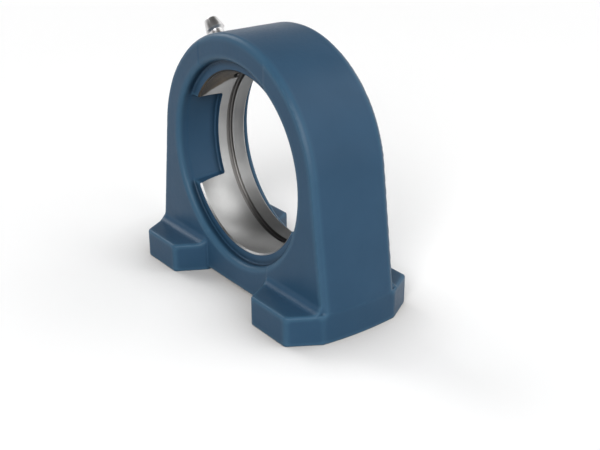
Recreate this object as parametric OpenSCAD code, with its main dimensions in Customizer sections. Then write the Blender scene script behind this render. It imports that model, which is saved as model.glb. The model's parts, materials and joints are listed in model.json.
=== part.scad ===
// Cast iron pillow block housing with a short base, a bare machined seat for a
// ball bearing insert, two tapped holes in its underside and a grease nipple.
// The origin is under the middle of the bore, on the base. +X runs along the
// base, +Y along the shaft towards the back, +Z up.

/* [Block] */
// Height of the bore's centre above the base
centre_h = 42.9; // [41.5:0.1:48]
// Length of the base, in its middle
base_len = 95; // [90:0.5:106]
// How far the middle of each end stands out past its corners
end_crown = 0.9; // [0.2:0.1:1.5]
// Depth of the base over its feet
base_w = 48; // [42:0.5:60]
// Width of the arched body, along the shaft
body_w = 28; // [26:0.5:32]
// Outer radius of the arch
arch_r = 41.5; // [40:0.1:44]
// Rounding of the body's outer edges
body_edge_r = 2.2; // [1:0.1:3]

/* [Feet] */
// Height of the feet
foot_h = 9.8; // [7:0.1:12]
// Distance from the middle to where the feet leave the body
foot_root_x = 17.3; // [14:0.1:22]
// Length of a foot's inner bevel, along the base
bevel_in = 5.6; // [3:0.1:8]
// Length of a foot's outer bevel, along the base
bevel_out = 6; // [3:0.1:9]
// Rounding of the feet's edges
foot_edge_r = 0.9; // [0.5:0.1:1.5]
// Hollow rounding between the top of a foot and the body
foot_fillet_r = 3; // [1:0.5:4]
// Height of the cast relief under the middle of the base
relief_h = 1.2; // [0.5:0.1:2.5]

/* [Bolt holes] */
// Distance between the two tapped holes
bolt_pitch = 66; // [60:0.5:70]
// Thread size of the tapped holes
bolt_d = 14; // [10:1:14]
// Bore of the tapped holes, before the thread is cut
tap_d = 12; // [8:0.1:12.5]
// Depth of the tapped holes, without the drill's point
tap_depth = 20; // [14:0.5:24]

/* [Bearing seat] */
// Diameter of the spherical seat
seat_d = 62; // [60:0.1:63]
// Width of the machined seat, along the shaft
seat_w = 20; // [17:0.5:21]
// Width of the bright bevel at each edge of the seat
rim_bevel = 0.5; // [0.3:0.1:0.8]
// Radius of the recess in each face, round the seat
recess_r = 33; // [32:0.1:35]
// Rounding of the recess's mouth
lip_r = 1.9; // [0.5:0.1:2.2]
// Hollow rounding in the recess's corner
recess_fillet_r = 0.6; // [0.3:0.1:1.2]

/* [Filling slots] */
// Height of the two slots through which the insert is turned in, at the seat's front edge
slot_h = 30.4; // [22:0.2:32]
// Height of the slots' middle above the middle of the seat
slot_rise = 0.8; // [0:0.1:1]
// Draft of the slots' upper faces, in degrees
slot_draft = 6; // [0:0.5:8]
// Draft of the slots' lower faces, in degrees
slot_draft_low = 2; // [0:0.5:8]
// Where the slots end, behind the middle of the seat
slot_end_y = 0.8; // [0:0.1:2]

/* [Grease groove] */
// Middle of the groove, behind the middle of the seat
groove_y = 5.1; // [4:0.1:6]
// Width of the groove
groove_w = 2.2; // [1.5:0.1:3]
// Depth of the groove below the seat
groove_depth = 1.2; // [0.5:0.1:1.5]

/* [Grease duct] */
// Lean of the nipple from upright, to the left
nipple_angle = 45; // [40:1:48]
// Place of the nipple behind the middle of the seat
nipple_y = 3.3; // [2:0.1:4]
// Diameter of the cast boss under the nipple
boss_d = 12.5; // [11:0.5:15]
// Height of that boss above the arch
boss_h = 0.5; // [0.3:0.1:2]
// Diameter of the duct from the nipple to the seat
duct_d = 3; // [2:0.1:3.6]

/* [Nipple] */
// Thread size of the nipple
nipple_d = 6; // [5:0.5:8]
// Length of the nipple's thread
nipple_thread = 5.5; // [4:0.1:7]
// Width of the hexagon across its flats
hex_af = 7; // [7:0.5:10]
// Height of the hexagon
hex_h = 3.4; // [2.5:0.1:5]
// Diameter of the neck under the head
neck_d = 5; // [4.5:0.1:5.5]
// Length of the neck
neck_len = 2.7; // [2:0.1:4]
// Largest diameter of the head
head_d = 6.5; // [6:0.1:7]
// Height of the narrow band where the head is thickest
head_band = 0.3; // [0:0.1:1.5]
// Diameter of the head's flat tip
tip_d = 4.6; // [3.6:0.1:5]
// Height of the head
head_h = 4.8; // [3.6:0.1:5.5]

/* [Check valve] */
// Diameter of the check ball
ball_d = 2.5; // [2:0.1:2.6]
// Bore of the nipple, in which the ball slides
valve_bore_d = 2.9; // [2.8:0.1:3.2]
// Diameter of the hole that the ball closes
orifice_d = 1.7; // [1.2:0.1:1.9]
// How far the ball lies below the head's tip
ball_sink = 0.1; // [0:0.05:0.3]
// Thickness of the spring's wire
wire_d = 0.32; // [0.2:0.02:0.4]
// Diameter of the spring, to the middle of its wire
coil_d = 1.8; // [1.6:0.1:2]
// Number of turns of the spring
coil_turns = 8; // [5:1:10]

/* [Hidden] */

// Overlap of solids that are one casting, and how far cutters run past a face
fuse = 0.02;
past = 1;
// Clearance of a thread and of a part at rest on its seat
thread_clear = 0.03;
rest_clear = 0.02;
// Steps of a quarter of a small rounding, and of the large rounds
arc_steps = 6;
round_fn = 144;
edge_fn = 32;

half_l = base_len / 2;
half_w = base_w / 2;
half_body = body_w / 2;
corner_x = half_l - end_crown;
crown_r = (half_body * half_body + end_crown * end_crown) / (2 * end_crown);
seat_r = seat_d / 2;
half_seat = seat_w / 2;
rim_r = sqrt(seat_r * seat_r - half_seat * half_seat);
shelf_y = half_seat + rim_bevel;
groove_r = sqrt(seat_r * seat_r - groove_y * groove_y) + groove_depth;
tip_h = tap_d / 2 / tan(59);
boss_r = arch_r + boss_h;
nipple_hole = nipple_thread + 1.5;
head_z = hex_h + neck_len;
nipple_top = head_z + head_h;
ball_r = ball_d / 2;
ball_z = nipple_top - ball_sink - ball_r;
stake_h = 0.5;
wire_r = wire_d / 2;
coil_r = coil_d / 2;
coil_low = -nipple_thread + stake_h + wire_r + rest_clear;
end_pitch = wire_d + rest_clear;
coil_high = ball_z - sqrt(pow(ball_r + wire_r + rest_clear, 2) - coil_r * coil_r);

// Points of an arc about c, from angle a to angle b
function arc(c, r, a, b, n = arc_steps) =
    [for (i = [0:n]) c + r * [cos(a + (b - a) * i / n), sin(a + (b - a) * i / n)]];

// Turns a shape made about Z so that it runs along the shaft, its +Z to the front
module along_shaft() {
    translate([0, 0, centre_h]) rotate([90, 0, 0]) children();
}

// Places a shape on the nipple's axis, with +Z outwards from the boss's face
module on_boss() {
    translate([0, nipple_y, centre_h]) rotate([0, -nipple_angle, 0])
        translate([0, 0, boss_r]) children();
}

// Points of the crowned right-hand end, seen from above, between y and -y
function end_arc(y) = arc([half_l - crown_r, 0], crown_r, asin(y / crown_r), -asin(y / crown_r), 2 * arc_steps);

// The arch and its straight sides, down to the crowned ends of the base
module arched_body() {
    e = body_edge_r;
    rim = concat(arc([arch_r - e, half_body - e], e, 90, 0),
                 arc([arch_r - e, e - half_body], e, 0, -90));
    hull() {
        along_shaft() rotate_extrude($fn = round_fn)
            polygon(concat([[0, -half_body], [0, half_body]], rim));
        for (x = [-1, 1], y = [-1, 1])
            translate([x * (corner_x - e), y * (half_body - e), 0])
                cylinder(r = e, h = foot_h, $fn = edge_fn);
        linear_extrude(foot_h)
            polygon(concat(end_arc(half_body - e), -end_arc(half_body - e)));
    }
}

// Outline of the two feet at the right-hand end, seen from above, drawn in by e
module foot_outline(e = 0) {
    front = [[foot_root_x, half_body], [foot_root_x + bevel_in, half_w], [corner_x - bevel_out, half_w]];
    back = [for (i = [2:-1:0]) [front[i].x, -front[i].y]];
    offset(delta = -e) polygon(concat(front, end_arc(half_body), back));
}

// The two feet at the right-hand end, joined under the body, with rounded edges
module foot_pair() {
    e = foot_edge_r;
    intersection() {
        minkowski() {
            linear_extrude(foot_h - e) foot_outline(e);
            sphere(e, $fn = edge_fn);
        }
        translate([0, -half_w, 0]) cube([half_l, base_w, foot_h]);
    }
}

// Outline of the body seen from the front, drawn in by e
module body_outline(e) {
    offset(delta = -e) hull() {
        translate([0, centre_h]) circle(arch_r, $fn = round_fn);
        translate([-corner_x, 0]) square([2 * corner_x, foot_h]);
    }
}

// Hollow roundings between the tops of those feet and the body
module foot_fillets() {
    r = foot_fillet_r;
    hollow = arc([half_body + r, foot_h + r], r + fuse, 180, 270);
    intersection() {
        translate([0, 0, foot_h - past]) linear_extrude(r + 2 * past) foot_outline(foot_edge_r / 3);
        rotate([90, 0, 0]) linear_extrude(base_w, center = true) body_outline(body_edge_r / 2);
        for (y = [0, 1]) mirror([0, y, 0])
            rotate([90, 0, 90]) linear_extrude(half_l)
                polygon(concat([[half_body - past, foot_h - past], [half_body - past, foot_h + r]],
                               hollow, [[half_body + r, foot_h - past]]));
    }
}

// Half the height of the slots' core at y, on the side whose face has this draft
function slot_half(y, draft) = slot_h / 2 - (y + half_seat) * tan(draft);

// Core of the two slots: seen along the base, it narrows towards its rear end
module slot_core() {
    ends = [slot_end_y, -half_body];
    upper = [for (y = ends) [y, slot_half(y, slot_draft)]];
    lower = [for (i = [1, 0]) [ends[i], -slot_half(ends[i], slot_draft_low)]];
    translate([0, 0, centre_h + slot_rise]) rotate([90, 0, 90])
        linear_extrude(2 * arch_r, center = true) polygon(concat(upper, lower));
}

// Everything turned or cored about the shaft: seat, recesses, groove and slots
module bore_cuts() {
    side = half_body + past;
    lip = arc([recess_r + lip_r, half_body - lip_r], lip_r, 180, 100);
    run_out = lip[arc_steps] + [tan(80), 1] * 0.2;
    wall = concat(lip, [run_out, [run_out.x, side], [0, side]]);
    corner = arc([recess_r - recess_fillet_r, shelf_y + recess_fillet_r], recess_fillet_r, -90, 0);
    along_shaft() {
        intersection() {
            sphere(seat_r, $fn = round_fn);
            cube([seat_d, seat_d, seat_w + rim_bevel], center = true);
        }
        for (face = [0, 1]) mirror([0, 0, face]) rotate_extrude($fn = round_fn)
            polygon(concat([[0, half_seat - rim_bevel], [rim_r - rim_bevel, half_seat - rim_bevel],
                            [rim_r + rim_bevel, shelf_y]], corner, wall));
        translate([0, 0, -groove_y]) cylinder(r = groove_r, h = groove_w, center = true, $fn = round_fn);
    }
    intersection() {
        along_shaft() translate([0, 0, -slot_end_y - past])
            cylinder(r = recess_r, h = slot_end_y + past + shelf_y + recess_fillet_r, $fn = round_fn);
        slot_core();
    }
}

// A tapped hole in the underside, with its countersink and drill point
module tapped_hole() {
    sink = (bolt_d - tap_d) / 2 + 0.5;
    translate([0, 0, -past]) cylinder(d = tap_d, h = tap_depth + past, $fn = round_fn);
    translate([0, 0, tap_depth]) cylinder(d1 = tap_d, d2 = 0, h = tip_h, $fn = round_fn);
    translate([0, 0, -past]) cylinder(d1 = tap_d + 2 * (sink + past), d2 = tap_d, h = sink + past, $fn = round_fn);
}

module housing() {
    color("slategray") difference() {
        union() {
            arched_body();
            for (x = [0, 1]) mirror([x, 0, 0]) {
                foot_pair();
                foot_fillets();
            }
            on_boss() translate([0, 0, seat_r - boss_r + 5])
                cylinder(d = boss_d, h = boss_r - seat_r - 5, $fn = round_fn);
        }
        bore_cuts();
        for (x = [-1, 1]) translate([x * bolt_pitch / 2, 0, 0]) tapped_hole();
        translate([-foot_root_x, -half_w, -arch_r]) cube([2 * foot_root_x, base_w, relief_h + arch_r]);
        on_boss() {
            translate([0, 0, -nipple_hole]) cylinder(d = nipple_d, h = nipple_hole + past, $fn = round_fn);
            translate([0, 0, seat_r - boss_r - 2 * past])
                cylinder(d = duct_d, h = boss_r - seat_r, $fn = round_fn);
        }
    }
}

// Outline of the nipple's turned parts above the boss, from the hexagon's top
module nipple_turning() {
    tip_round = 0.35;
    polygon(concat([[0, hex_h - fuse], [neck_d / 2 + 0.4, hex_h - fuse], [neck_d / 2, hex_h + 0.4],
                    [neck_d / 2, head_z], [head_d / 2, head_z + (head_d - neck_d) / 2],
                    [head_d / 2, head_z + (head_d - neck_d) / 2 + head_band]],
                   arc([tip_d / 2 - tip_round, nipple_top - tip_round], tip_round, 20, 90, 4),
                   [[0, nipple_top]]));
}

module grease_nipple() {
    shank_r = nipple_d / 2 - thread_clear;
    bore_r = valve_bore_d / 2;
    seat_ring = ball_r * cos(45);
    seat_top = ball_z + ball_r * sin(45) + rest_clear + seat_ring - orifice_d / 2;
    color("silver") on_boss() difference() {
        union() {
            intersection() {
                cylinder(d = hex_af / cos(30), h = hex_h, $fn = 6);
                rotate_extrude($fn = round_fn) polygon([[0, 0], [hex_af / 2, 0], [hex_af / 2 + 0.7, 0.4],
                    [hex_af / 2 + 0.7, hex_h - 0.4], [hex_af / 2, hex_h], [0, hex_h]]);
            }
            rotate_extrude($fn = round_fn) nipple_turning();
            rotate_extrude($fn = round_fn) polygon([[0, fuse], [shank_r - 0.5, fuse], [shank_r - 0.5, -0.8],
                [shank_r, -1.3], [shank_r, 0.5 - nipple_thread], [shank_r - 0.5, -nipple_thread],
                [0, -nipple_thread]]);
        }
        rotate_extrude($fn = round_fn) polygon([[0, -nipple_thread - past], [coil_r - wire_r, -nipple_thread - past],
            [coil_r - wire_r, stake_h - nipple_thread], [bore_r, stake_h - nipple_thread],
            [bore_r, seat_top - (bore_r - orifice_d / 2)], [orifice_d / 2, seat_top],
            [orifice_d / 2, nipple_top + past], [0, nipple_top + past]]);
    }
}

module check_ball() {
    color("lightgray") on_boss() translate([0, 0, ball_z]) sphere(ball_r, $fn = 48);
}

// Height of the wire's middle after u turns: the turn at each end lies closed on the next
function coil_z(u) =
    u < 1 ? coil_low + end_pitch * u
    : u > coil_turns - 1 ? coil_high - end_pitch * (coil_turns - u)
    : coil_low + end_pitch + (u - 1) * (coil_high - coil_low - 2 * end_pitch) / (coil_turns - 2);

// A helix of round wire, worked out ring by ring
module helix(sides = 8, steps = 16) {
    rings = coil_turns * steps;
    points = [for (i = [0:rings], k = [0:sides - 1])
        let (turn = 360 * i / steps, a = 360 * k / sides, r = coil_r + wire_r * cos(a))
        [r * cos(turn), r * sin(turn), coil_z(i / steps) + wire_r * sin(a)]];
    walls = [for (i = [0:rings - 1], k = [0:sides - 1])
        let (a = i * sides + k, b = i * sides + (k + 1) % sides) [a, b, b + sides, a + sides]];
    start = [for (k = [sides - 1:-1:0]) k];
    end = [for (k = [0:sides - 1]) rings * sides + k];
    polyhedron(points, concat([start], walls, [end]), convexity = 10);
}

module check_spring() {
    color("gray") on_boss() helix();
}

housing();
grease_nipple();
check_ball();
check_spring();
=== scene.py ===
import json
import math

import bpy
import numpy as np
from mathutils import Matrix, Vector


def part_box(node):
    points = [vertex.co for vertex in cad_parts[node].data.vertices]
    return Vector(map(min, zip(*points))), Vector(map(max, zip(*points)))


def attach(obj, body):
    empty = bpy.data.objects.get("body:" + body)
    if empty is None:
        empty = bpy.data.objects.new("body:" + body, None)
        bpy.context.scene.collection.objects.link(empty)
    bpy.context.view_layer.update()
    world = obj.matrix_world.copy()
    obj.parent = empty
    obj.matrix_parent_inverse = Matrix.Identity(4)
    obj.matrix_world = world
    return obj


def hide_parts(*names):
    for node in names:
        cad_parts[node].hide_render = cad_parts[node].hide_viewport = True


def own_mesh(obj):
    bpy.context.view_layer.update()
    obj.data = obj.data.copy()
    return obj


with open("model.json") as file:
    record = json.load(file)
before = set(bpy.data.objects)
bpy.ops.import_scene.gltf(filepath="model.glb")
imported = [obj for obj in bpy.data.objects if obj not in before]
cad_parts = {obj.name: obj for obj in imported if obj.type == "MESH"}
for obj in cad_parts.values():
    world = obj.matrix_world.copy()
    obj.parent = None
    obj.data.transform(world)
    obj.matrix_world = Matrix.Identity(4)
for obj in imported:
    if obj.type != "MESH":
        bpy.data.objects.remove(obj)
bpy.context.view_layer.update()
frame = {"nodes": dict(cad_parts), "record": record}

# An empty pillow block housing on a white floor: a painted iron casting with a turned spherical
# seat, two tapped holes in its underside, and a plated grease nipple with its ball and spring.
# Sizes are in millimetres, and MM makes them metres where they go into a mesh, a material or the
# camera. Sizes of grain and marks in the materials, and those of floor and lamps, are in metres.
MM = 0.001
MOUNTS = {mount["name"]: mount for mount in frame["record"]["mounts"]}

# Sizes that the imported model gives
HALF_LEN, HALF_WIDTH, TOP = (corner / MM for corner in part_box("housing")[1])
AXIS_H = MOUNTS["bearing_seat"]["pos_m"][2] / MM
SEAT_R = MOUNTS["bearing_seat"]["dims"]["r_mm"]
SEAT_HALF = MOUNTS["bearing_seat"]["dims"]["length_mm"] / 2
TAP_X = MOUNTS["base_bolts"]["dims"]["spacing_x_mm"] / 2
TAP_R = MOUNTS["base_bolts"]["dims"]["hole_r_mm"]
NIPPLE_DIR = np.array(MOUNTS["nipple_head"]["axis"])
NIPPLE_Y = MOUNTS["nipple_head"]["pos_m"][1] / MM
ARCH_R = TOP - AXIS_H

# Body and feet
HALF_BODY = 14.0
BODY_EDGE_R = 2.2
FOOT_H = 9.8
FOOT_ROOT_X = 17.3
BEVEL_IN = 5.6
BEVEL_OUT = 6.0
FOOT_EDGE_R = 0.9
FOOT_FILLET_R = 3.0
ROOT_FILLET_R = 0.3
END_CROWN = 0.9
END_EDGE_R = 0.3
CORNER_X = HALF_LEN - END_CROWN
BASE_EDGE_R = 0.35
RELIEF_H = 1.2
RELIEF_FILLET_R = 0.5
RELIEF_EDGE_R = 0.3
SWELL = 0.07

# Seat, recesses, filling slots and grease groove
RIM_BEVEL = 0.5
SHELF_Y = SEAT_HALF + RIM_BEVEL
RECESS_R = 33.0
REAR_RECESS_R = 32.3
RECESS_FILLET_R = 0.6
LIP_R = 1.9
REAR_LIP_R = 1.4
CORED_R = 27.5
SLOT_H = 30.4
SLOT_RISE = 0.8
SLOT_DRAFT = math.radians(6)
SLOT_DRAFT_LOW = math.radians(2)
SLOT_END_Y = 0.8
SLOT_FILLET_R = 0.8
SHELF_EDGE_R = 0.4
GROOVE_Y = 5.1
GROOVE_HALF = 1.1
GROOVE_DEPTH = 1.2
GROOVE_EDGE = 0.12
GROOVE_FILLET = 0.25

# Tapped holes and the nipple's boss, hole and duct
TAP_DEPTH = 20.0
TAP_PITCH = 2.0
TAP_MAJOR_R = 7.0
TAP_SINK = TAP_MAJOR_R - TAP_R + 0.6
DRILL_POINT = math.radians(59)
BOSS_R = 6.25
BOSS_ROOT = SEAT_R + 5
BOSS_TOP = ARCH_R + 0.5
BOSS_EDGE_R = 0.35
BOSS_FILLET_R = 0.7
NIPPLE_HOLE_R = 3.0
NIPPLE_HOLE_DEPTH = 7.0
NIPPLE_HOLE_SINK = 0.4
DUCT_R = 1.5
DUCT_START = SEAT_R - 3
DUCT_CONE = 1.2

# Width of the net's cells on the casting, and how far a cutter reaches past what it cuts
CELL = 0.58
PAST = 1.0

# Places of the casting's finishes in its list of materials
PAINTED, TURNED, TAPPED = range(3)


def rounded(a, b, radius):
    """What two solids have in common, as distances. Nearer than the radius to both skins, the
    distance is measured from the centre line of a round edge, so that the edge is an arc."""
    edge = np.hypot(np.maximum(a + radius, 0), np.maximum(b + radius, 0))
    return np.minimum(np.maximum(a, b), -radius) + edge


def filleted(a, b, radius):
    """Two solids as one, as distances: the rule of rounded() turned inside out, so that the
    corner between them is a hollow arc."""
    return -rounded(-a, -b, radius)


def swell(p, waves=16, seed=3):
    """The slight unevenness of a cast skin, from 0 to about 1: plane waves 7 to 24 mm long in
    scattered directions, added up."""
    rng = np.random.default_rng(seed)
    ways = rng.normal(size=(3, waves))
    ways *= 2 * math.pi / rng.uniform(7, 24, waves) / np.linalg.norm(ways, axis=0)
    starts = rng.uniform(0, 6.28, waves).astype(np.float32)
    return 0.5 + np.sin(p.astype(np.float32) @ ways.astype(np.float32) + starts).sum(-1) / waves


def feet(side, deep, z, outline):
    """Distance from the feet: in plan the slab between two sloping planes that leave the body's
    face, one at the foot's root and one at the end, with rounded corners. Its top is flat, and
    within the body's outline a hollow arc takes it up to the body's face."""
    flare = HALF_WIDTH - HALF_BODY
    inner = ((FOOT_ROOT_X - side) * flare + (deep - HALF_BODY) * BEVEL_IN) / math.hypot(flare, BEVEL_IN)
    outer = ((side - CORNER_X) * flare + (deep - HALF_BODY) * BEVEL_OUT) / math.hypot(flare, BEVEL_OUT)
    plan = rounded(rounded(deep - HALF_WIDTH, inner, FOOT_EDGE_R), outer, FOOT_EDGE_R)
    cove = filleted(deep - HALF_BODY, z - FOOT_H, FOOT_FILLET_R)
    cove = np.maximum(cove, outline + BODY_EDGE_R / 2)
    return np.minimum(rounded(plan, z - FOOT_H, FOOT_EDGE_R), rounded(plan, cove, FOOT_EDGE_R))


def cored(reach, up, y):
    """Distance from what the casting's cores leave open: a recess in each face with a hollow
    corner, the rear one slightly narrower, the bore between them, and two slots that narrow
    towards their rear end."""
    recess_r = np.where(y < 0, RECESS_R, REAR_RECESS_R)
    recess = rounded(reach - recess_r, SHELF_Y - np.abs(y), RECESS_FILLET_R)

    def face(height, draft):
        half = SLOT_H / 2 - (y + SEAT_HALF) * math.tan(draft)
        return (height - half) * math.cos(draft)

    edge = np.maximum(face(up - SLOT_RISE, SLOT_DRAFT), face(SLOT_RISE - up, SLOT_DRAFT_LOW))
    slot = rounded(rounded(reach - RECESS_R, edge, SLOT_FILLET_R), y - SLOT_END_Y, SLOT_FILLET_R)
    return np.minimum(filleted(recess, slot, SHELF_EDGE_R), reach - CORED_R)


def casting(p):
    """Distance in mm from the casting's skin before machining, negative in the iron. The body is a
    slab whose outline is an arc and its two tangents, with ends that are slightly crowned; feet and
    nipple boss join it by hollow arcs, and cores and the base's relief are taken out of it."""
    x, y, z = p[..., 0], p[..., 1], p[..., 2]
    side, deep, up = np.abs(x), np.abs(y), z - AXIS_H
    reach = np.hypot(x, up)

    corner = math.hypot(HALF_LEN, AXIS_H - FOOT_H)
    lean = math.acos(ARCH_R / corner) - math.atan2(AXIS_H - FOOT_H, HALF_LEN)
    touch = ARCH_R * math.sin(lean)
    crown = END_CROWN * np.minimum(deep / HALF_BODY, 1) ** 2
    crown = crown * np.clip((touch - up) / (touch + AXIS_H - FOOT_H), 0, 1)
    flank = (side + crown) * math.cos(lean) + up * math.sin(lean) - ARCH_R
    above = up * math.cos(lean) > side * math.sin(lean)
    outline = np.where(above, reach - ARCH_R, flank)
    body = rounded(outline, deep - HALF_BODY, BODY_EDGE_R)
    iron = filleted(body, feet(side, deep, z, outline), ROOT_FILLET_R)

    along = x * NIPPLE_DIR[0] + up * NIPPLE_DIR[2]
    off = np.sqrt(np.maximum(reach ** 2 - along ** 2, 0) + (y - NIPPLE_Y) ** 2)
    boss = np.maximum(rounded(off - BOSS_R, along - BOSS_TOP, BOSS_EDGE_R), BOSS_ROOT - along)
    iron = filleted(iron, boss, BOSS_FILLET_R)

    iron = iron + SWELL * swell(p)
    iron = rounded(iron, -cored(reach, up, y), np.where(y < 0, LIP_R, REAR_LIP_R))
    iron = rounded(iron, side - HALF_LEN + crown, END_EDGE_R)
    relief = rounded(side - FOOT_ROOT_X, z - RELIEF_H, RELIEF_FILLET_R)
    return rounded(rounded(iron, -relief, RELIEF_EDGE_R), -z, BASE_EDGE_R)


def slope(field, p, step=0.02):
    """Slope of a field of distances at the points, by central differences. Its direction is the
    skin's normal."""
    nudges = np.eye(3) * step
    return np.stack([field(p + n) - field(p - n) for n in nudges], -1) / (2 * step)


def settled(field, p, rounds=3):
    """The points moved onto the field's skin: each goes down its slope by its distance."""
    for _ in range(rounds):
        ways = slope(field, p)
        p = p - ways * (field(p) / np.maximum((ways ** 2).sum(-1), 0.2))[:, None]
    return p


def netted(field, low, high, cell):
    """A closed net of four-sided faces over the field's skin. Each edge of a cubic grid that goes
    through the skin makes a face of the points of the four cells round it, and each such cell has
    one point: the place nearest to the planes that touch the skin where the cell's edges cross it,
    by least squares, so that it lands on an edge or a corner of the skin if the cell has one."""
    axes = [np.arange(a - 2.25 * cell, b + 3 * cell, cell) for a, b in zip(low, high)]
    values = field(np.stack(np.meshgrid(*axes, indexing="ij"), -1).astype(np.float32))
    inside = values < 0
    wide, deep, tall = (len(a) - 1 for a in axes)
    filled = sum(inside[i:wide + i, j:deep + j, k:tall + k].astype(np.int8)
                 for i in (0, 1) for j in (0, 1) for k in (0, 1))
    passed = (filled > 0) & (filled < 8)
    number = np.full(passed.shape, -1)
    number[passed] = np.arange(passed.sum())
    origin = np.array([a[0] for a in axes])
    centres = origin + (np.argwhere(passed) + 0.5) * cell

    faces, crossings = [], []
    for axis in range(3):
        order = (axis, (axis + 1) % 3, (axis + 2) % 3)
        value, ids = values.transpose(order)[:, 1:-1, 1:-1], number.transpose(order)
        low_in = value[:-1] < 0
        i, j, k = np.nonzero(low_in != (value[1:] < 0))
        ring = np.stack([ids[i, j, k], ids[i, j + 1, k], ids[i, j + 1, k + 1], ids[i, j, k + 1]], -1)
        faces.append(np.where(low_in[i, j, k][:, None], ring, ring[:, ::-1]))
        step = value[i, j, k] / (value[i, j, k] - value[i + 1, j, k])
        place = np.empty((len(i), 3))
        place[:, order] = np.stack([i + step, j + 1.0, k + 1.0], -1)
        crossings.append(origin + place * cell)
    faces, crossings = np.concatenate(faces), settled(field, np.concatenate(crossings), 2)

    ways = slope(field, crossings)
    ways = (ways / np.linalg.norm(ways, axis=-1)[:, None]).repeat(4, axis=0)
    cells = faces.ravel()
    reach = crossings.repeat(4, axis=0) - centres[cells]

    def total(amounts):
        return np.bincount(cells, amounts, len(centres))

    square = np.stack([np.stack([total(ways[:, a] * ways[:, b]) for a in range(3)], -1)
                       for b in range(3)], -1)
    away = np.stack([total(ways[:, a] * (ways * reach).sum(-1)) for a in range(3)], -1)
    middle = np.stack([total(reach[:, a]) for a in range(3)], -1) / total(np.ones(len(cells)))[:, None]
    hold = 0.05
    offset = np.linalg.solve(square + hold * np.eye(3), (away + hold * middle)[..., None])[..., 0]
    return settled(field, centres + np.clip(offset, -cell / 2, cell / 2)), faces


def framed(rings, origin, along):
    """Rings given as (angle's x, angle's y, height) turned so that their height runs along a
    direction from an origin."""
    along = np.array(along, float)
    across = np.cross(along, [0.0, 1.0, 0.0] if abs(along[1]) < 0.9 else [1.0, 0.0, 0.0])
    across /= np.linalg.norm(across)
    return origin + rings @ np.stack([across, np.cross(along, across), along])


def turned(outline, around, radius=None):
    """Rings of a turned shape: each (radius, height) point of the outline goes round the axis.
    radius, if given, changes the radius as a function of angle, radius and height."""
    r, h = np.array(outline, float).T[:, :, None]
    angle = np.linspace(0, 2 * math.pi, around, endpoint=False)
    if radius is not None:
        r = radius(angle, r, h)
    flat = np.zeros_like(r * angle)
    return np.stack([r * np.cos(angle), r * np.sin(angle), h + flat], -1)


def arc(centre, radius, start, end, steps):
    """Points of an arc in an outline, from one angle to another, in degrees."""
    turn = np.radians(np.linspace(start, end, steps + 1))
    return [tuple(q) for q in np.stack([centre[0] + radius * np.cos(turn),
                                        centre[1] + radius * np.sin(turn)], -1)]


def skinned(rings, loop=False):
    """Points and faces of a skin over rings. The ends are shut by fans to their middles, or with
    loop the last ring joins the first."""
    count, around = rings.shape[:2]
    points = rings.reshape(-1, 3)
    ids = np.arange(count * around).reshape(count, around)
    low, high = (ids, np.roll(ids, -1, 0)) if loop else (ids[:-1], ids[1:])
    faces = np.stack([low, np.roll(low, -1, 1), np.roll(high, -1, 1), high], -1).reshape(-1, 4).tolist()
    if not loop:
        first, last = len(points), len(points) + 1
        points = np.concatenate([points, rings[[0, -1]].mean(1)])
        faces += [[first, b, a] for a, b in zip(ids[0], np.roll(ids[0], -1))]
        faces += [[last, a, b] for a, b in zip(ids[-1], np.roll(ids[-1], -1))]
    return points, faces


def piece(name, points, faces, materials, index=0):
    """A new object at the origin, with its place in its mesh, in metres. All its faces take the
    material at the index."""
    mesh = bpy.data.meshes.new(name)
    mesh.from_pydata((points * MM).tolist(), [], faces)
    for material in materials:
        mesh.materials.append(material)
    mesh.polygons.foreach_set("material_index", np.full(len(mesh.polygons), index, np.int32))
    mesh.polygons.foreach_set("use_smooth", np.ones(len(mesh.polygons), bool))
    mesh.update()
    made = bpy.data.objects.new(name, mesh)
    bpy.context.scene.collection.objects.link(made)
    return made


def crisp(mesh, angle, painted=None):
    """Marks as sharp each edge whose two faces turn by more than the angle, in degrees. Where
    painted gives a mask of faces, edges inside the paint stay soft and its border is sharp."""
    normals = np.empty(len(mesh.polygons) * 3)
    mesh.polygons.foreach_get("normal", normals)
    normals = normals.reshape(-1, 3)
    owner = np.repeat(np.arange(len(mesh.polygons)), [len(f.vertices) for f in mesh.polygons])
    edge = np.empty(len(mesh.loops), np.int32)
    mesh.loops.foreach_get("edge_index", edge)
    order = np.argsort(edge, kind="stable")
    first, second = owner[order[::2]], owner[order[1::2]]
    sharp = (normals[first] * normals[second]).sum(-1) < math.cos(math.radians(angle))
    if painted is not None:
        sharp = (sharp & ~painted[first] & ~painted[second]) | (painted[first] != painted[second])
    marks = mesh.attributes.new("sharp_edge", "BOOLEAN", "EDGE")
    marks.data.foreach_set("value", sharp)


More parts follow.
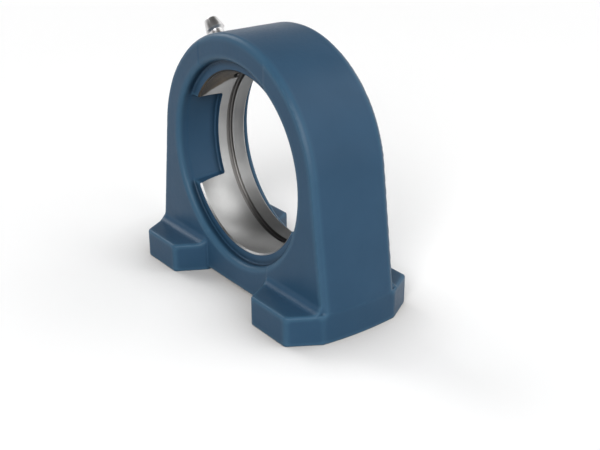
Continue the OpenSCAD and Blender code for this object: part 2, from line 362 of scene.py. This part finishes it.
def seat_tool(materials):
    """What the lathe takes out: a sphere's zone with a bevel at each end, and the grease groove
    with slightly broken edges. It stands clear of the iron in both recesses."""
    bevel, spare = 1.1, 1.5

    def radius(y):
        return math.sqrt(SEAT_R ** 2 - y * y)

    def zone(start, end, steps):
        return [(radius(y), y) for y in np.linspace(start, end, steps)]

    rim = radius(SEAT_HALF) + bevel
    low, high = GROOVE_Y - GROOVE_HALF, GROOVE_Y + GROOVE_HALF
    floor = radius(GROOVE_Y) + GROOVE_DEPTH
    outline = [(rim, -SEAT_HALF - bevel - spare), (rim, -SEAT_HALF - bevel)]
    outline += zone(-SEAT_HALF, low - GROOVE_EDGE, 15)
    outline += [(radius(low) + GROOVE_EDGE, low), (floor - GROOVE_FILLET, low),
                (floor, low + GROOVE_FILLET), (floor, high - GROOVE_FILLET),
                (floor - GROOVE_FILLET, high), (radius(high) + GROOVE_EDGE, high)]
    outline += zone(high + GROOVE_EDGE, SEAT_HALF, 5)
    outline += [(rim, SEAT_HALF + bevel), (rim, SEAT_HALF + bevel + spare)]
    rings = framed(turned(outline, 288), (0, 0, AXIS_H), (0, 1, 0))
    return piece("seat_tool", *skinned(rings), materials, TURNED)


def tap_tool(x, materials):
    """A tapped hole: a bore with a drill point and a countersink, whose wall follows a thread. The
    thread's depth is a wave with flat crests that climbs one pitch in each turn."""
    deep = TAP_MAJOR_R - TAP_R
    start, end, tip = 1.2, TAP_DEPTH - 3.0, 0.05

    def thread(angle, r, h):
        wave = np.abs(2 * ((h / TAP_PITCH - angle / (2 * math.pi)) % 1) - 1)
        cut = deep * np.clip(1.5 * wave - 0.25, 0, 1)
        fade = np.clip(np.minimum(h - start, end - h) / TAP_PITCH + 0.5, 0, 1)
        return np.where(r == TAP_R, r + cut * fade, r)

    outline = [(TAP_R + TAP_SINK + PAST, -PAST), (TAP_R + TAP_SINK, 0.0)]
    outline += [(TAP_R, h) for h in np.arange(TAP_SINK, TAP_DEPTH, TAP_PITCH / 8)]
    outline += [(TAP_R, TAP_DEPTH), (tip, TAP_DEPTH + TAP_R / math.tan(DRILL_POINT))]
    rings = framed(turned(outline, 64, thread), (x, 0, 0), (0, 0, 1))
    return piece("tap_tool", *skinned(rings), materials, TAPPED)


def duct_tool(materials):
    """The nipple's hole with its countersink, and the duct from it through to the seat."""
    end = BOSS_TOP - NIPPLE_HOLE_DEPTH
    outline = [(DUCT_R, DUCT_START), (DUCT_R, end - DUCT_CONE), (NIPPLE_HOLE_R, end),
               (NIPPLE_HOLE_R, BOSS_TOP - NIPPLE_HOLE_SINK),
               (NIPPLE_HOLE_R + NIPPLE_HOLE_SINK + PAST, BOSS_TOP + PAST)]
    rings = framed(turned(outline, 48), (0, NIPPLE_Y, AXIS_H), NIPPLE_DIR)
    return piece("duct_tool", *skinned(rings), materials, TAPPED)


def machine(work, tools):
    """Takes the tools' shapes out of the work, and the tools out of the scene."""
    for tool in tools:
        cut = work.modifiers.new(tool.name, "BOOLEAN")
        cut.operation, cut.solver, cut.object = "DIFFERENCE", "MANIFOLD", tool
    seen = work.evaluated_get(bpy.context.evaluated_depsgraph_get())
    mesh = bpy.data.meshes.new_from_object(seen)
    work.modifiers.clear()
    work.data = mesh
    for tool in tools:
        bpy.data.objects.remove(tool)


def machined(p):
    """Distance from the finished iron: the casting less the turned zone of the seat."""
    x, y, up = p[..., 0], p[..., 1], p[..., 2] - AXIS_H
    zone = np.maximum(np.sqrt(x * x + y * y + up * up) - SEAT_R, np.abs(y) - SHELF_Y)
    return np.maximum(casting(p), -zone)


def dress(work):
    """Gives the painted skin the casting's own normals, and each point two masks: hollow, for how
    much of the space before it is iron, and ridge, for how fast the skin falls away to its sides."""
    mesh = work.data
    co = np.empty(len(mesh.vertices) * 3)
    mesh.vertices.foreach_get("co", co)
    p = co.reshape(-1, 3) / MM
    ways = slope(casting, p)
    ways /= np.maximum(np.linalg.norm(ways, axis=-1), 0.01)[:, None]
    # The hollow mask drives painted shade in the enamel, and the ridge mask its painted highlight.
    probes = (0.7, 1.6, 4.0)
    hollow = sum(np.clip(1 - machined(p + ways * k) / k, 0, 1) for k in probes) / len(probes)
    side = np.cross(ways, np.where(np.abs(ways[:, 2:]) < 0.7, (0.0, 0.0, 1.0), (1.0, 0.0, 0.0)))
    side /= np.linalg.norm(side, axis=-1)[:, None]
    across = np.cross(ways, side)
    reach = 1.5
    ridge = sum(np.clip(casting(p + way * reach) / reach, 0, 1) for way in (side, -side, across, -across))
    for name, values in (("hollow", hollow), ("ridge", ridge)):
        mask = mesh.attributes.new(name, "FLOAT", "POINT")
        mask.data.foreach_set("value", values.astype(np.float32))

    finish = np.empty(len(mesh.polygons), np.int32)
    mesh.polygons.foreach_get("material_index", finish)
    painted = finish == PAINTED
    mesh.polygons.foreach_set("use_smooth", np.ones(len(mesh.polygons), bool))
    crisp(mesh, 20, painted)
    corner = np.empty(len(mesh.loops), np.int32)
    mesh.loops.foreach_get("vertex_index", corner)
    of_paint = np.repeat(painted, [len(f.vertices) for f in mesh.polygons])
    mesh.normals_split_custom_set(np.where(of_paint[:, None], ways[corner], 0.0))


def plug(tree, socket, value):
    """Links the socket to the one that is given, or sets it to a number or a colour."""
    if isinstance(value, bpy.types.NodeSocket):
        tree.links.new(value, socket)
    else:
        socket.default_value = value


def add(tree, kind, inputs=None, **settings):
    """A new shader node. Its inputs are numbers, colours or the sockets that feed them."""
    node = tree.nodes.new("ShaderNode" + kind)
    for name, value in settings.items():
        setattr(node, name, value)
    for name, value in (inputs or {}).items():
        plug(tree, node.inputs[name], value)
    return node


def new_group(name, inputs, outputs):
    """An empty node group with named float, vector or colour sockets."""
    group = bpy.data.node_groups.new(name, "ShaderNodeTree")
    for way, sockets in (("INPUT", inputs), ("OUTPUT", outputs)):
        for socket, kind in sockets:
            group.interface.new_socket(socket, in_out=way, socket_type="NodeSocket" + kind)
    return group, group.nodes.new("NodeGroupInput"), group.nodes.new("NodeGroupOutput")


def mottle_group():
    """Soft clouds and fine specks: one mask each, from noise at two scales of the object's own
    coordinates. Paint and bare metal both use it."""
    group, given, out = new_group("mottle", [("Cloud size", "Float"), ("Speck size", "Float")],
                                  [("Clouds", "Float"), ("Specks", "Float")])
    place = add(group, "TexCoord").outputs["Object"]
    for size, mask, detail in (("Cloud size", "Clouds", 3.0), ("Speck size", "Specks", 2.0)):
        scale = add(group, "Math", {0: 1.0, 1: given.outputs[size]}, operation="DIVIDE")
        noise = add(group, "TexNoise", {"Vector": place, "Scale": scale.outputs[0], "Detail": detail})
        spread = add(group, "MapRange", {"Value": noise.outputs["Fac"], "From Min": 0.3, "From Max": 0.7})
        group.links.new(spread.outputs["Result"], out.inputs[mask])
    return group


def tool_mark_group():
    """Height of the fine grooves that a cutting tool leaves: waves along the axis that is fed in,
    broken up by noise so that no two turns are alike."""
    group, given, out = new_group("tool_marks", [("Place", "Vector"), ("Pitch", "Float")],
                                  [("Height", "Float")])
    split = add(group, "SeparateXYZ", {"Vector": given.outputs["Place"]})
    turns = add(group, "Math", {0: split.outputs["Z"], 1: given.outputs["Pitch"]}, operation="DIVIDE")
    lines = add(group, "TexNoise", {"W": turns.outputs[0], "Scale": 1.0, "Detail": 2.0},
                noise_dimensions="1D")
    chatter = add(group, "TexNoise", {"Vector": given.outputs["Place"], "Scale": 900.0, "Detail": 1.0})
    both = add(group, "Math", {0: lines.outputs["Fac"], 1: chatter.outputs["Fac"]}, operation="MULTIPLY")
    group.links.new(both.outputs[0], out.inputs["Height"])
    return group


def new_material(name):
    """An empty material with a Principled shader at its output."""
    material = bpy.data.materials.new(name)
    material.use_nodes = True
    return material, material.node_tree, material.node_tree.nodes["Principled BSDF"]


def feed(tree, shader, **inputs):
    """Sets the shader's inputs, or links them where a socket is given."""
    for name, value in inputs.items():
        plug(tree, shader.inputs[name.replace("_", " ")], value)


def blended(tree, mask, low, high):
    """A colour between two, by a mask."""
    return add(tree, "Mix", {"Factor": mask, 6: low, 7: high}, data_type="RGBA").outputs[2]


def slate_enamel(mottle):
    """Slate blue enamel on cast iron, with painted shade that darkens it in hollows and a painted
    highlight that makes it paler on ridges, and the casting's grain showing through as small bumps."""
    material, tree, shader = new_material("slate_enamel")
    spots = add(tree, "Group", {"Cloud size": 0.012, "Speck size": 0.0009}, node_tree=mottle)
    hollow = add(tree, "Attribute", attribute_name="hollow").outputs["Fac"]
    ridge = add(tree, "Attribute", attribute_name="ridge").outputs["Fac"]
    blue = blended(tree, spots.outputs["Clouds"], (0.0225, 0.062, 0.114, 1), (0.0265, 0.070, 0.127, 1))
    # Painted highlight: the enamel turns paler blue along ridges and round edges, by the ridge mask.
    pale = add(tree, "MapRange", {"Value": ridge, "From Min": 0.1, "From Max": 0.8, "To Max": 0.6})
    blue = blended(tree, pale.outputs["Result"], blue, (0.05, 0.12, 0.19, 1))
    # Painted shade: the enamel turns nearly black in hollows and corners, by the hollow mask.
    painted_shade = add(tree, "MapRange", {"Value": hollow, "From Min": 0.1, "From Max": 0.5, "To Max": 0.9})
    blue = blended(tree, painted_shade.outputs["Result"], blue, (0.003, 0.012, 0.024, 1))
    rough = add(tree, "MapRange", {"Value": spots.outputs["Specks"], "To Min": 0.36, "To Max": 0.42})
    place = add(tree, "TexCoord").outputs["Object"]
    peel = add(tree, "TexNoise", {"Vector": place, "Scale": 520.0, "Detail": 2.0})
    grain = add(tree, "Bump", {"Height": spots.outputs["Specks"], "Distance": 0.00002, "Strength": 0.25})
    bump = add(tree, "Bump", {"Height": peel.outputs["Fac"], "Distance": 0.00006, "Strength": 0.5,
                              "Normal": grain.outputs["Normal"]})
    feed(tree, shader, Base_Color=blue, Roughness=rough.outputs["Result"], Normal=bump.outputs["Normal"],
         Specular_IOR_Level=0.16)
    return material


def turned_iron(mottle, marks):
    """Bare iron as turned: grey, with fine lines round the shaft's axis, a painted dark reflection as
    a brown zone at the top in front of the groove, where the duct opens, and painted shade in the groove,
    which lies outside the seat's sphere."""
    material, tree, shader = new_material("turned_iron")
    spots = add(tree, "Group", {"Cloud size": 0.006, "Speck size": 0.0005}, node_tree=mottle)
    place = add(tree, "TexCoord").outputs["Object"]
    turn = add(tree, "Mapping", {"Vector": place, "Rotation": (math.pi / 2, 0, 0)})
    lines = add(tree, "Group", {"Place": turn.outputs["Vector"], "Pitch": 0.00018}, node_tree=marks)
    bump = add(tree, "Bump", {"Height": lines.outputs["Height"], "Distance": 0.00003, "Strength": 0.6})
    grey = blended(tree, spots.outputs["Clouds"], (0.36, 0.36, 0.357, 1), (0.40, 0.40, 0.397, 1))

    across = add(tree, "SeparateXYZ", {"Vector": place}).outputs
    # Painted dark reflection: a brown zone at the top of the seat in front of the groove, with a noisy
    # lower edge that slopes along the axis.
    tilt = add(tree, "Math", {0: across["Y"], 1: -0.45}, operation="MULTIPLY")
    height = add(tree, "Math", {0: across["Z"], 1: tilt.outputs[0]})
    edge_noise = add(tree, "TexNoise", {"Vector": place, "Scale": 220.0, "Detail": 3.0})
    height = add(tree, "Math", {0: edge_noise.outputs["Fac"], 1: 0.003, 2: height.outputs[0]},
                 operation="MULTIPLY_ADD")
    dark_reflection = add(tree, "MapRange", {"Value": height.outputs[0], "From Min": AXIS_H * MM + 0.0204,
                                  "From Max": AXIS_H * MM + 0.0218}, interpolation_type="SMOOTHSTEP")
    front = add(tree, "Math", {0: across["Y"], 1: (GROOVE_Y - GROOVE_HALF) * MM}, operation="LESS_THAN")
    dark_reflection = add(tree, "Math", {0: dark_reflection.outputs["Result"], 1: front.outputs[0]}, operation="MULTIPLY")
    reflection_brown = blended(tree, spots.outputs["Clouds"], (0.040, 0.037, 0.034, 1), (0.10, 0.078, 0.055, 1))
    grey = blended(tree, dark_reflection.outputs[0], grey, reflection_brown)

    # Painted shade: the groove, outside the seat's sphere, turns a darker grey.
    out = add(tree, "VectorMath", {0: place, 1: (0, 0, AXIS_H * MM)}, operation="DISTANCE").outputs["Value"]
    out = add(tree, "Math", {0: out, 1: (SEAT_R + 0.08) * MM}, operation="GREATER_THAN")
    level = add(tree, "Math", {0: across["Y"], 1: GROOVE_Y * MM, 2: (GROOVE_HALF + 0.3) * MM},
                operation="COMPARE")
    groove = add(tree, "Math", {0: out.outputs[0], 1: level.outputs[0]}, operation="MULTIPLY")
    grey = blended(tree, groove.outputs[0], grey, (0.17, 0.165, 0.16, 1))
    rough = add(tree, "MapRange", {"Value": spots.outputs["Specks"], "To Min": 0.32, "To Max": 0.42})
    feed(tree, shader, Base_Color=grey, Metallic=1.0, Roughness=rough.outputs["Result"],
         Normal=bump.outputs["Normal"])
    return material


def mottled_metal(name, mottle, sizes, colours, roughness):
    """Metal whose colour follows the mottle's clouds and whose gloss follows its specks. Sizes,
    colours and roughness are each given as a pair."""
    material, tree, shader = new_material(name)
    spots = add(tree, "Group", {"Cloud size": sizes[0], "Speck size": sizes[1]}, node_tree=mottle)
    tint = blended(tree, spots.outputs["Clouds"], *((*colour, 1) for colour in colours))
    rough = add(tree, "MapRange", {"Value": spots.outputs["Specks"], "To Min": roughness[0],
                                   "To Max": roughness[1]})
    feed(tree, shader, Base_Color=tint, Metallic=1.0, Roughness=rough.outputs["Result"])
    return material


def tapped_iron(mottle):
    """Drilled and tapped iron: darker than the seat, dull with cutting fluid."""
    return mottled_metal("tapped_iron", mottle, (0.003, 0.0004),
                         ((0.20, 0.195, 0.19), (0.32, 0.315, 0.31)), (0.35, 0.5))


def plated_steel(mottle):
    """Bright zinc plate: pale and glossy, with soft patches."""
    return mottled_metal("plated_steel", mottle, (0.002, 0.0003),
                         ((0.60, 0.59, 0.59), (0.68, 0.675, 0.67)), (0.3, 0.38))


def spring_steel(mottle):
    """Drawn wire: grey, with a dull gloss."""
    return mottled_metal("spring_steel", mottle, (0.001, 0.0002),
                         ((0.45, 0.45, 0.45), (0.5, 0.5, 0.5)), (0.25, 0.31))


def ball_steel(mottle):
    """Polished steel of the ball."""
    return mottled_metal("ball_steel", mottle, (0.001, 0.0002),
                         ((0.594, 0.594, 0.594), (0.66, 0.66, 0.66)), (0.12, 0.18))


# The nipple's sizes along its axis, above its boss
HEX_AF = 7.0
HEX_H = 3.4
NECK_R = 2.5
NECK_LEN = 2.7
HEAD_R = 3.25
HEAD_BAND = 0.3
HEAD_H = 4.8
TIP_R = 2.3
SHANK_R = 2.97
SHANK_LEN = 5.5
BALL_BORE_R = 1.45
ORIFICE_R = 0.85
SPRING_GAP_R = 0.74

# The spring's wire and coil, and how far the ball presses it in
WIRE_R = 0.16
COIL_R = 0.9
COIL_TURNS = 8
END_PITCH = 0.34


def nipple_outline():
    """Outline of the nipple from the foot of its thread up its outside, over its tip and down
    through its bore, with the ball's seat under the tip."""
    head = HEX_H + NECK_LEN
    top = head + HEAD_H
    thread = [(SHANK_R, -h) for h in np.arange(SHANK_LEN - 0.5, 1.2, -0.125)]
    chamfer = ((0.02, 0.0), (0.17, 0.09), (0.34, 0.2), (0.55, 0.33), (0.9, 0.5))
    flats = [(HEX_AF / 2 + lift, h) for lift, h in chamfer]
    flats += [(HEX_AF / 2 + lift, HEX_H - h) for lift, h in reversed(chamfer)]
    neck = arc((NECK_R + 0.45, HEX_H + 0.45), 0.45, 270, 180, 4)
    neck += arc((NECK_R + 0.3, head - 0.15), 0.3, 180, 135, 3)
    widest = head + HEAD_R - NECK_R
    cone = [(HEAD_R - 0.12, widest - 0.12), (HEAD_R, widest), (HEAD_R, widest + HEAD_BAND)]
    crown = arc((TIP_R - 0.35, top - 0.35), 0.35, 20, 90, 6)
    seat = top - 0.3
    bore = [(ORIFICE_R + 0.12, top), (ORIFICE_R, top - 0.12), (ORIFICE_R, seat),
            (BALL_BORE_R, seat - (BALL_BORE_R - ORIFICE_R)), (BALL_BORE_R, -SHANK_LEN + 0.5),
            (SPRING_GAP_R, -SHANK_LEN + 0.5), (SPRING_GAP_R, -SHANK_LEN)]
    return [(SHANK_R - 0.6, -SHANK_LEN)] + thread + [(SHANK_R - 0.5, -0.7), (SHANK_R - 0.5, 0)] \
        + flats + neck + cone + crown + bore


def nipple_radius(angle, r, h):
    """The turned radius, held inside the hexagon's flats over its height and cut into a thread
    along the shank."""
    sector = (angle + math.pi / 6) % (math.pi / 3) - math.pi / 6
    on_hex = (h >= 0) & (h <= HEX_H) & (r > HEX_AF / 2)
    wave = np.abs(2 * ((h - angle / (2 * math.pi)) % 1) - 1)
    fade = np.clip(np.minimum(-1.2 - h, h + SHANK_LEN) / 0.8, 0, 1)
    threaded = r - 0.5 * fade * np.clip(1.4 * wave - 0.2, 0, 1)
    flat = np.minimum(r, HEX_AF / 2 / np.cos(sector))
    return np.where(on_hex, flat, np.where((r == SHANK_R) & (h < 0), threaded, r))


def grease_nipple(zinc):
    """The nipple as one skin that runs up its outside and back down its bore."""
    rings = framed(turned(nipple_outline(), 96, nipple_radius), (0, NIPPLE_Y, AXIS_H), NIPPLE_DIR)
    rings += NIPPLE_DIR * BOSS_TOP
    made = piece("nipple_body", *skinned(rings, loop=True), [zinc])
    crisp(made.data, 28)
    return made


def spring(wire):
    """A round profile carried along a helix, whose first and last turns lie closed on the next. It
    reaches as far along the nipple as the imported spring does, and shortens as the ball moves in."""
    cad = frame["nodes"]["check_spring"].data
    co = np.empty(len(cad.vertices) * 3)
    cad.vertices.foreach_get("co", co)
    origin = np.array((0, NIPPLE_Y, AXIS_H))
    heights = (co.reshape(-1, 3) / MM - origin) @ NIPPLE_DIR
    foot, head = heights.min(), heights.max()
    low, high = foot + WIRE_R, head - WIRE_R
    turns = np.linspace(0, COIL_TURNS, COIL_TURNS * 24 + 1)[:, None]
    climb = np.interp(turns, [0, 1, COIL_TURNS - 1, COIL_TURNS],
                      [low, low + END_PITCH, high - END_PITCH, high])
    around = np.linspace(0, 2 * math.pi, 12, endpoint=False)
    r = COIL_R + WIRE_R * np.cos(around)
    turn = 2 * math.pi * turns
    rings = np.stack([r * np.cos(turn), r * np.sin(turn), climb - WIRE_R * np.sin(around)], -1)
    made = piece("spring_wire", *skinned(framed(rings, origin, NIPPLE_DIR)), [wire])
    crisp(made.data, 40)
    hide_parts("check_spring")
    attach(made, "housing")
    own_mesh(made)


def camera():
    """The photograph's viewpoint, found by fitting it and the sizes together."""
    azimuth, elevation, roll = (math.radians(d) for d in (53.08, 23.74, -0.20))
    distance, shift_right, shift_up = 334.5, 9.92, 19.05
    back = Vector((math.sin(azimuth) * math.cos(elevation), -math.cos(azimuth) * math.cos(elevation),
                   math.sin(elevation)))
    right = Vector((math.cos(azimuth), math.sin(azimuth), 0))
    up = back.cross(right)
    place = Vector((0, 0, shift_up)) + right * shift_right + back * distance
    right, up = right * math.cos(roll) + up * math.sin(roll), up * math.cos(roll) - right * math.sin(roll)
    lens = bpy.data.cameras.new("camera")
    lens.sensor_width = 36
    lens.lens = 60.68
    made = bpy.data.objects.new("camera", lens)
    made.matrix_world = Matrix.Translation(place * MM) @ Matrix((right, up, back)).transposed().to_4x4()
    bpy.context.scene.collection.objects.link(made)
    bpy.context.scene.camera = made


def soft_lamp(name, azimuth, elevation, power, size):
    """A square soft lamp that looks at the block from a direction given as for the camera."""
    distance = 2.0
    a, e = math.radians(azimuth), math.radians(elevation)
    way = Vector((math.sin(a) * math.cos(e), -math.cos(a) * math.cos(e), math.sin(e)))
    data = bpy.data.lights.new(name, "AREA")
    data.size, data.energy = size, power
    lamp = bpy.data.objects.new(name, data)
    lamp.location = way * distance + Vector((0, 0, AXIS_H * MM))
    lamp.rotation_euler = way.to_track_quat("Z", "Y").to_euler()
    lamp.visible_camera = False
    bpy.context.scene.collection.objects.link(lamp)


def sky():
    """A world that is white near the horizon and dim overhead."""
    world = bpy.data.worlds.new("studio")
    bpy.context.scene.world = world
    world.use_nodes = True
    tree = world.node_tree
    back = tree.nodes["Background"]
    way = add(tree, "SeparateXYZ", {"Vector": add(tree, "TexCoord").outputs["Generated"]})
    dim = add(tree, "MapRange", {"Value": way.outputs["Z"], "From Min": 0.12, "From Max": 0.3,
                                 "To Min": 1.0, "To Max": 0.04}, interpolation_type="SMOOTHSTEP")
    tree.links.new(dim.outputs["Result"], back.inputs["Strength"])
    back.inputs["Color"].default_value = (1, 1, 1, 1)


def white_floor():
    """Paper that keeps the block's shadow, and adds a painted shadow in its colour along the foot of
    the block, from ambient occlusion, and that is plain white further out. Only the camera and reflections
    see it white: it is grey to all other light, so that it throws little back at the block."""
    material, tree, shader = new_material("white_floor")
    rays = add(tree, "LightPath").outputs
    seen = add(tree, "Math", {0: rays["Is Camera Ray"], 1: rays["Is Glossy Ray"]}, operation="MAXIMUM")
    seen = add(tree, "Math", {0: seen.outputs[0], 1: rays["Is Transmission Ray"]}, operation="MAXIMUM")
    # Painted shadow: the floor's colour darkens to grey where ambient occlusion finds the block close by.
    near = add(tree, "AmbientOcclusion", {"Distance": 0.03}).outputs["AO"]
    near = add(tree, "MapRange", {"Value": near, "From Min": 0.5, "From Max": 1.0})
    white = blended(tree, near.outputs["Result"], (0.60, 0.58, 0.56, 1), (0.97, 0.97, 0.97, 1))
    away = add(tree, "VectorMath", {0: add(tree, "TexCoord").outputs["Object"]}, operation="LENGTH")
    far = add(tree, "MapRange", {"Value": away.outputs["Value"], "From Min": 0.3, "From Max": 0.7},
              interpolation_type="SMOOTHSTEP")
    white = blended(tree, far.outputs["Result"], white, (0.0, 0.0, 0.0, 1))
    white = blended(tree, seen.outputs[0], (0.24, 0.24, 0.24, 1), white)
    lift = add(tree, "Math", {0: far.outputs["Result"], 1: 0.95, 2: 0.05}, operation="MULTIPLY_ADD")
    lift = add(tree, "Math", {0: seen.outputs[0], 1: lift.outputs[0]}, operation="MULTIPLY")
    feed(tree, shader, Base_Color=white, Roughness=1.0, Specular_IOR_Level=0.0,
         Emission_Color=(1, 1, 1, 1), Emission_Strength=lift.outputs[0])
    return material


def studio():
    """The sky, the floor and soft lamps all round, the strongest at the front right. Each lamp has
    a name, an azimuth and an elevation in degrees, a power in watts and a width in metres."""
    sky()
    half = 2.0
    mesh = bpy.data.meshes.new("floor")
    corners = [(-half, -half, 0), (half, -half, 0), (half, half, 0), (-half, half, 0)]
    mesh.from_pydata(corners, [], [(0, 1, 2, 3)])
    floor = bpy.data.objects.new("floor", mesh)
    bpy.context.scene.collection.objects.link(floor)
    mesh.materials.append(white_floor())
    for lamp in (("front_right_lamp", 42, 29, 36.0, 1.0), ("right_lamp", 95, 36, 6.0, 1.0),
                 ("left_lamp", 278, 34, 15.0, 1.0), ("back_right_lamp", 120, 20, 5.0, 1.0),
                 ("back_lamp", 152, 42, 10.0, 1.2), ("far_back_lamp", 190, 27, 5.0, 1.2),
                 ("back_left_lamp", 222, 28, 3.0, 1.4)):
        soft_lamp(*lamp)


camera()
mottle, marks = mottle_group(), tool_mark_group()
finishes = [slate_enamel(mottle), turned_iron(mottle, marks), tapped_iron(mottle)]

points, faces = netted(casting, (-HALF_LEN, -HALF_WIDTH, 0), (HALF_LEN, HALF_WIDTH, TOP), CELL)
block = piece("block_casting", points, faces.tolist(), finishes)
machine(block, [seat_tool(finishes), duct_tool(finishes), tap_tool(TAP_X, finishes),
                tap_tool(-TAP_X, finishes)])
dress(block)
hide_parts("housing")
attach(block, "housing")

nipple = grease_nipple(plated_steel(mottle))
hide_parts("grease_nipple")
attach(nipple, "housing")

spring(spring_steel(mottle))
ball = frame["nodes"]["check_ball"]
ball.data.materials.clear()
ball.data.materials.append(ball_steel(mottle))

studio()
bpy.context.scene.view_settings.view_transform = "Standard"
